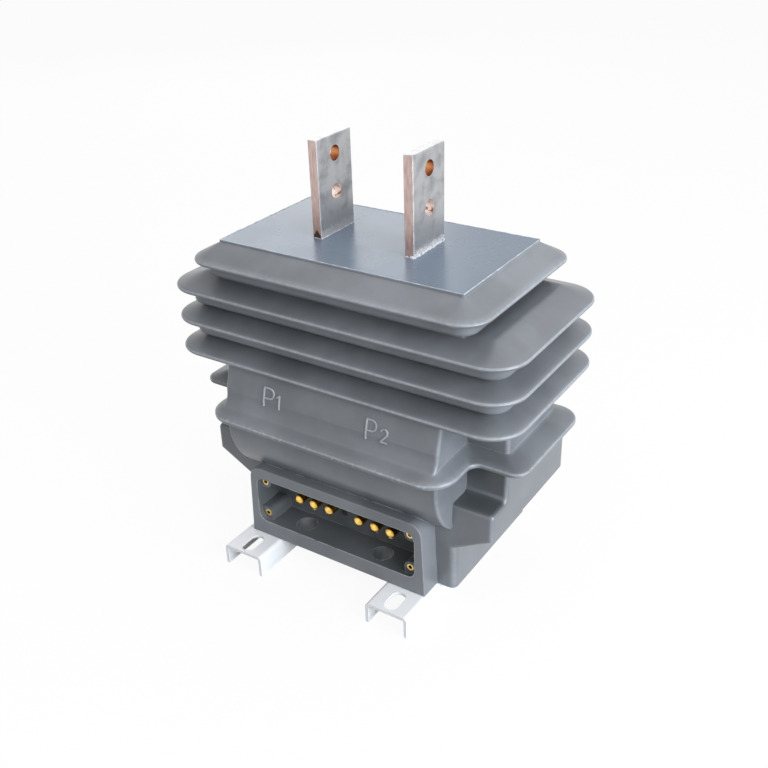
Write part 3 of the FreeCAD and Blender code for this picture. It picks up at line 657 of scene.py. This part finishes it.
def baked_dust(tree, z, grain, sawn, height, share):
    """Dust with a ragged top just above the plate, thin on the sawn sides."""
    ragged = math_node(tree, "MULTIPLY_ADD", grain, 2.0, -0.5)
    top = math_node(tree, "MULTIPLY_ADD", ragged, height, plate_top)
    above = math_node(tree, "SUBTRACT", z, top)
    amount = between(tree, sawn, share, SAWN_RESIDUE * share)
    return product(tree, step_mask(tree, above, RESIDUE_FADE, -RESIDUE_FADE), amount)


def flux_stain(tree, x, y, z, sawn):
    """Brown triangle at the foot of the front side of the first bar."""
    bar_low, bar_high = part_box("primary_bar_p1")
    middle = (bar_low + bar_high) / 2
    aside = math_node(tree, "ABSOLUTE", math_node(tree, "SUBTRACT", x, middle.x))
    slope = math_node(tree, "MULTIPLY_ADD", aside, STAIN_SLOPE, z)
    spot = step_mask(tree, slope, plate_top + STAIN_HEIGHT, plate_top + 0.85 * STAIN_HEIGHT)
    return product(tree, spot, sawn, math_node(tree, "LESS_THAN", y, middle.y))


def tinned_bar(name, stained, residue_height, residue_share):
    """Tinned copper with sawn sides and drilled holes, told apart by place and facing."""
    made, tree, shader = material_with(name)
    mottle = placed_group(tree, surface_mottle, Cloud_Scale=75.0, Grain_Scale=700.0)
    edges = placed_group(tree, rubbed_edges, Radius=BAR_EDGE_HIGHLIGHT_WIDTH, Breakup=40.0)
    x, y, z, vector = object_place(tree)
    face_x, face_y, face_z = facing(tree)
    foot = step_mask(tree, z, plate_top + FOOT_HEIGHTS[1], plate_top + FOOT_HEIGHTS[0])
    smudge = union(tree, step_mask(tree, mottle.outputs["Cloud"], 0.40, 0.72),
                   math_node(tree, "MULTIPLY", foot, FOOT_SMUDGE))
    colour = mixed_colour(tree, smudge, TIN, TIN_DULL)
    sawn = step_mask(tree, face_y, 0.80, 0.95)
    colour = mixed_colour(tree, sawn, colour, sawn_copper(tree, vector, foot))
    # Top faces are painted lighter, as painted light from above.
    colour = mixed_colour(tree, step_mask(tree, face_z, 0.80, 0.95), colour, TIN_TOP_PAINTED_LIGHT)
    drilled = hole_walls(tree, y, z, face_x)
    colour = mixed_colour(tree, drilled, colour, drilled_copper(tree, vector, z, face_z))
    # Painted highlight along the bar's edges, but not round the holes.
    bar_edge_highlight = product(tree, edges.outputs["Mask"], math_node(tree, "SUBTRACT", 1.0, drilled))
    colour = mixed_colour(tree, math_node(tree, "MULTIPLY", bar_edge_highlight, BAR_EDGE_HIGHLIGHT_SHARE), colour, TIN_HIGHLIGHT)
    dust = baked_dust(tree, z, mottle.outputs["Grain"], sawn, residue_height, residue_share)
    colour = mixed_colour(tree, dust, colour, RESIDUE_WHITE)
    if stained:
        colour = mixed_colour(tree, flux_stain(tree, x, y, z, sawn), colour, FLUX_BROWN)
    tree.links.new(colour, shader.inputs["Base Color"])
    metallic = math_node(tree, "MULTIPLY_ADD", dust, -DUST_HIDES, TIN_METALLIC)
    tree.links.new(metallic, shader.inputs["Metallic"])
    tree.links.new(between(tree, smudge, *TIN_ROUGH), shader.inputs["Roughness"])
    tree.links.new(bumped(tree, mottle.outputs["Grain"], 0.12, 0.0003), shader.inputs["Normal"])
    return made


dress("primary_bar_p1", tinned_bar("tinned_bar_p1", True, 0.014, 0.35))
dress("primary_bar_p2", tinned_bar("tinned_bar_p2", False, 0.011, 0.65))

# Where each bar comes out of the plate the resin crept up it as it set. That left a
# ragged whitish bead round the foot, thicker and more crumbly on the second bar.
BEAD_WHITE = (0.60, 0.61, 0.63, 1)
BEAD_ROUGH = 0.5
BEAD_STEP = 0.0011
BEAD_SIDES = 8
BEAD_FLATNESS = 0.75
BEAD_WANDER = (0.30, 1.15)
BEAD_SEED = 3
BEAD_SIZE = {"primary_bar_p1": 0.0008, "primary_bar_p2": 0.0022}

bead_resin, tree, shader = material_with("bead_resin")
mottle = placed_group(tree, surface_mottle, Cloud_Scale=320.0, Grain_Scale=1800.0)
cloud = step_mask(tree, mottle.outputs["Cloud"], 0.30, 0.55)
tree.links.new(mixed_colour(tree, cloud, RESIN_LIGHT, BEAD_WHITE), shader.inputs["Base Color"])
shader.inputs["Roughness"].default_value = BEAD_ROUGH
tree.links.new(bumped(tree, mottle.outputs["Grain"], 0.5, 0.0005), shader.inputs["Normal"])


def ragged_bead(name, bar_name, size, seed):
    """Bead of wandering thickness round the foot of a bar."""
    bar_low, bar_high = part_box(bar_name)
    centre = (bar_low + bar_high) / 2
    half = (bar_high - bar_low) / 2
    around = rectangle_stations((centre.x, centre.y), (half.x, half.y), plate_top, BEAD_STEP)
    dice = random.Random(seed)
    sizes = [size * dice.uniform(*BEAD_WANDER) for _ in around]

    def bead_section(i):
        """Section of the bead at one station, taller than it is wide."""
        ring = []
        for k in range(BEAD_SIDES):
            a = 2 * math.pi * k / BEAD_SIDES
            ring.append((BEAD_FLATNESS * sizes[i] * math.cos(a), sizes[i] * math.sin(a)))
        return ring

    return swept(name, around, bead_section, closed=True)


for n, (bar_name, size) in enumerate(BEAD_SIZE.items()):
    bead = ragged_bead(bar_name + "_bead", bar_name, size, BEAD_SEED + n)
    bead.data.shade_smooth()
    finished(bead, bead_resin)

# The secondary terminals are turned brass posts with domed ends, cast into the back of
# the terminal box in two groups of three. The domes are bright, painted shade darkens
# their edges and the shanks, and the brass is tarnished in clouds.
BRASS = (0.96, 0.66, 0.19, 1)
BRASS_TARNISH_AND_SHADE = (0.50, 0.26, 0.03, 1)
TARNISH_SHARE = 0.5
STUD_ROUGH = 0.22


def brass_material(name, cloud_scale, rough):
    """Turned brass, bright on its ends, with painted shade on its sides and tarnish in clouds."""
    made, tree, shader = material_with(name)
    mottle = placed_group(tree, surface_mottle, Cloud_Scale=cloud_scale, Grain_Scale=2500.0)
    cloud = step_mask(tree, mottle.outputs["Cloud"], 0.46, 0.74)
    # Painted shade on surfaces that face away from the front.
    side = step_mask(tree, facing(tree)[1], 0.955, 0.745)
    tarnish_and_shade = union(tree, math_node(tree, "MULTIPLY", cloud, TARNISH_SHARE), side)
    tree.links.new(mixed_colour(tree, tarnish_and_shade, BRASS, BRASS_TARNISH_AND_SHADE), shader.inputs["Base Color"])
    shader.inputs["Metallic"].default_value = 1.0
    shader.inputs["Roughness"].default_value = rough
    tree.links.new(bumped(tree, mottle.outputs["Grain"], 0.15, 0.0002), shader.inputs["Normal"])
    return made


stud_brass = brass_material("stud_brass", 160.0, STUD_ROUGH)
for n in range(1, 7):
    dress("secondary_stud_%d" % n, stud_brass)

# Each corner of the terminal box has a threaded brass insert for a cover screw. The
# cover itself is off, so their mouths show.
INSERT_ROUGH = 0.38

insert_brass = brass_material("insert_brass", 300.0, INSERT_ROUGH)
for n in range(1, 5):
    dress("cover_insert_%d" % n, insert_brass)

# The feet are channels folded from steel sheet and powder painted white, which leaves a
# faint orange-peel texture and slightly thinner paint on the bends.
PAINT_WHITE = (0.90, 0.91, 0.93, 1)
PAINT_SHADE = (0.84, 0.85, 0.875, 1)
PAINT_THIN = (0.44, 0.45, 0.47, 1)
PAINT_ROUGH = 0.38
BEND_WIDTH = 0.0006
BEND_SHARE = 0.6

paint, tree, shader = material_with("white_powder_paint")
mottle = placed_group(tree, surface_mottle, Cloud_Scale=25.0, Grain_Scale=700.0)
edges = placed_group(tree, rubbed_edges, Radius=BEND_WIDTH, Breakup=90.0)
colour = mixed_colour(tree, mottle.outputs["Cloud"], PAINT_WHITE, PAINT_SHADE)
thin = math_node(tree, "MULTIPLY", edges.outputs["Mask"], BEND_SHARE)
tree.links.new(mixed_colour(tree, thin, colour, PAINT_THIN), shader.inputs["Base Color"])
shader.inputs["Roughness"].default_value = PAINT_ROUGH
tree.links.new(bumped(tree, mottle.outputs["Grain"], 0.15, 0.0003), shader.inputs["Normal"])
for side in ("left", "right"):
    dress("channel_" + side, paint)

# Screws and washers hold the feet from below, in steel bushes cast into the body. The
# screws and washers are zinc plated, and both metals have dulled unevenly.
ZINC = (0.56, 0.57, 0.58, 1)
ZINC_DULL = (0.40, 0.41, 0.42, 1)
ZINC_ROUGH = 0.38
BUSH_GREY = (0.42, 0.42, 0.43, 1)
BUSH_DULL = (0.30, 0.30, 0.31, 1)
BUSH_ROUGH = 0.45


def plated_steel(name, bright, dull, rough):
    """Steel whose plating is bright in some places and dull in others."""
    made, tree, shader = material_with(name)
    mottle = placed_group(tree, surface_mottle, Cloud_Scale=90.0, Grain_Scale=1500.0)
    colour = mixed_colour(tree, mottle.outputs["Cloud"], bright, dull)
    tree.links.new(colour, shader.inputs["Base Color"])
    shader.inputs["Metallic"].default_value = 1.0
    shader.inputs["Roughness"].default_value = rough
    tree.links.new(bumped(tree, mottle.outputs["Grain"], 0.2, 0.0002), shader.inputs["Normal"])
    return made


zinc = plated_steel("zinc_plate", ZINC, ZINC_DULL, ZINC_ROUGH)
bush_steel = plated_steel("bush_steel", BUSH_GREY, BUSH_DULL, BUSH_ROUGH)
for n in range(1, 5):
    dress("base_screw_%d" % n, zinc)
    dress("base_washer_%d" % n, zinc)
    dress("base_bush_%d" % n, bush_steel)

# Inside the resin, one flat copper turn passes through two ring cores of wound steel
# strip, each with its own winding of enamelled wire and three leads to the studs.
ENAMEL_RED = (0.45, 0.13, 0.05, 1)
ENAMEL_DARK = (0.30, 0.08, 0.03, 1)
STRIP_GREY = (0.36, 0.37, 0.39, 1)
STRIP_DARK = (0.22, 0.23, 0.25, 1)
TURN_COPPER = (0.80, 0.42, 0.25, 1)
TURN_DARK = (0.62, 0.28, 0.15, 1)
SHEATH_BLACK = (0.035, 0.035, 0.040, 1)
SHEATH_GREY = (0.060, 0.060, 0.065, 1)


def banded(name, first, second, metallic, rough, stretch):
    """Material with fine bands, for wound strip and wire."""
    made, tree, shader = material_with(name)
    scaled = add_node(tree, "Mapping")
    scaled.inputs["Scale"].default_value = stretch
    tree.links.new(object_place(tree)[3], scaled.inputs["Vector"])
    bands = add_node(tree, "TexNoise")
    bands.inputs["Scale"].default_value = 1.0
    tree.links.new(scaled.outputs["Vector"], bands.inputs["Vector"])
    colour = mixed_colour(tree, bands.outputs["Fac"], first, second)
    tree.links.new(colour, shader.inputs["Base Color"])
    shader.inputs["Metallic"].default_value = metallic
    shader.inputs["Roughness"].default_value = rough
    tree.links.new(bumped(tree, bands.outputs["Fac"], 0.3, 0.0004), shader.inputs["Normal"])
    return made


enamel = banded("enamelled_wire", ENAMEL_RED, ENAMEL_DARK, 0.6, 0.35, (900, 60, 60))
strip = banded("core_strip", STRIP_GREY, STRIP_DARK, 1.0, 0.40, (60, 700, 700))
bare = banded("bare_copper", TURN_COPPER, TURN_DARK, 1.0, 0.35, (80, 600, 80))
sheath = banded("lead_sheath", SHEATH_GREY, SHEATH_BLACK, 0.0, 0.50, (400, 400, 400))
for use in ("measuring", "protection"):
    dress(use + "_winding", enamel)
    dress(use + "_core", strip)
dress("primary_winding", bare)
for n in range(1, 7):
    dress("secondary_lead_%d" % n, sheath)

# The object stands on a pale seamless floor. The eye sees it white with a soft shadow,
# and it throws only a little light back up at the object.
FLOOR_HALF = 6.0
FLOOR_WHITE = (0.90, 0.90, 0.90, 1)
FLOOR_SOFT = (0.87, 0.87, 0.875, 1)
FLOOR_BOUNCE = (0.32, 0.33, 0.34, 1)
FLOOR_ROUGH = 0.9
FLOOR_GLOW = 0.93


def seen_directly(tree):
    """Mask of rays that show a surface to the eye, straight or in metal or glass."""
    ray = add_node(tree, "LightPath")
    kinds = ("Camera", "Glossy", "Transmission")
    return union(tree, *[ray.outputs["Is %s Ray" % kind] for kind in kinds])


near, far = -FLOOR_HALF, FLOOR_HALF
floor_mesh = bpy.data.meshes.new("floor")
floor_corners = [(near, near, 0), (far, near, 0), (far, far, 0), (near, far, 0)]
floor_mesh.from_pydata(floor_corners, [], [(0, 1, 2, 3)])
floor = bpy.data.objects.new("floor", floor_mesh)
bpy.context.scene.collection.objects.link(floor)
floor_paper, tree, shader = material_with("floor_paper")
mottle = placed_group(tree, surface_mottle, Cloud_Scale=2.0, Grain_Scale=300.0)
paper = mixed_colour(tree, mottle.outputs["Cloud"], FLOOR_WHITE, FLOOR_SOFT)
seen = seen_directly(tree)
tree.links.new(mixed_colour(tree, seen, FLOOR_BOUNCE, paper), shader.inputs["Base Color"])
shader.inputs["Roughness"].default_value = FLOOR_ROUGH
shader.inputs["Specular IOR Level"].default_value = 0.0
glow = add_node(tree, "Emission")
glow.inputs["Strength"].default_value = 1.0
glow.inputs["Color"].default_value = (1, 1, 1, 1)
joined = add_node(tree, "MixShader")
tree.links.new(math_node(tree, "MULTIPLY", seen, FLOOR_GLOW), joined.inputs["Fac"])
tree.links.new(shader.outputs[0], joined.inputs[1])
tree.links.new(glow.outputs[0], joined.inputs[2])
tree.links.new(joined.outputs[0], tree.nodes["Material Output"].inputs["Surface"])
floor.data.materials.append(floor_paper)

# White surroundings, brighter overhead and towards +X, carry part of the light. Soft
# lamps add to it: a cool one on the right, two above, one behind on the left that the
# plate mirrors, and a weak one in front.
SKY_COLOUR = (1.0, 1.0, 1.0, 1)
SKY_LOW = 0.11
SKY_UP = 0.42
SKY_RIGHT = 0.35
WHITE_LIGHT = (1.0, 1.0, 1.0)
COOL_LIGHT = (0.90, 0.95, 1.0)
LAMP_AIM = Vector((0, 0, 0.18))

world = bpy.data.worlds.new("white_surroundings")
bpy.context.scene.world = world
world.use_nodes = True
tree = world.node_tree
sky = tree.nodes["Background"]
sky.inputs["Color"].default_value = SKY_COLOUR
direction = add_node(tree, "TexCoord")
split = add_node(tree, "SeparateXYZ")
tree.links.new(direction.outputs["Generated"], split.inputs[0])
overhead = math_node(tree, "MULTIPLY", step_mask(tree, split.outputs["Z"], -0.1, 0.9), SKY_UP)
rightward = math_node(tree, "MULTIPLY", step_mask(tree, split.outputs["X"], 0.0, 1.0), SKY_RIGHT)
light = math_node(tree, "ADD", math_node(tree, "ADD", overhead, rightward), SKY_LOW)
strength = add_node(tree, "Mix", data_type="FLOAT")
factor, lit, shown = strength.inputs[0], strength.inputs[2], strength.inputs[3]
tree.links.new(seen_directly(tree), factor)
tree.links.new(light, lit)
shown.default_value = 1.0
tree.links.new(strength.outputs[0], sky.inputs["Strength"])


def soft_lamp(name, place, size, power, colour=WHITE_LIGHT):
    """Square area lamp that faces the middle of the object."""
    lamp = bpy.data.lights.new(name, "AREA")
    lamp.color = colour
    lamp.size = size
    lamp.energy = power
    made = bpy.data.objects.new(name, lamp)
    made.location = place
    made.rotation_euler = (LAMP_AIM - Vector(place)).to_track_quat("-Z", "Y").to_euler()
    bpy.context.scene.collection.objects.link(made)


soft_lamp("lamp_right", (1.9, -0.45, 0.60), 1.4, 50.0, COOL_LIGHT)
soft_lamp("lamp_top", (0.2, 0.4, 2.0), 2.6, 12.0)
soft_lamp("lamp_high_front", (-0.3, -1.1, 2.0), 1.6, 7.5)
soft_lamp("lamp_back_left", (-1.75, 1.85, 1.20), 1.35, 7.5)
soft_lamp("lamp_front", (-0.4, -2.0, 0.6), 1.0, 2.0)

# The camera stands in front and to the right, above the terminals, and looks down on
# the object a little turned in its mount, as the picture was taken.
FOCAL_LENGTH = 46.95
SENSOR = 36.0
CAMERA_PLACE = (0.49459, -0.73563, 0.67063)
CAMERA_YAW = math.radians(33.82)
CAMERA_PITCH = math.radians(28.85)
CAMERA_ROLL = math.radians(1.826)

lens = bpy.data.cameras.new("camera")
lens.lens = FOCAL_LENGTH
lens.sensor_width = SENSOR
camera = bpy.data.objects.new("camera", lens)
bpy.context.scene.collection.objects.link(camera)
level_right = Vector((math.cos(CAMERA_YAW), math.sin(CAMERA_YAW), 0))
forward = Vector((-math.sin(CAMERA_YAW) * math.cos(CAMERA_PITCH),
                  math.cos(CAMERA_YAW) * math.cos(CAMERA_PITCH), -math.sin(CAMERA_PITCH)))
level_down = forward.cross(level_right)
right = math.cos(CAMERA_ROLL) * level_right + math.sin(CAMERA_ROLL) * level_down
down = -math.sin(CAMERA_ROLL) * level_right + math.cos(CAMERA_ROLL) * level_down
axes = Matrix((right, -down, -forward)).transposed().to_4x4()
camera.matrix_world = Matrix.Translation(CAMERA_PLACE) @ axes
bpy.context.scene.camera = camera
bpy.context.scene.view_settings.view_transform = "Standard"
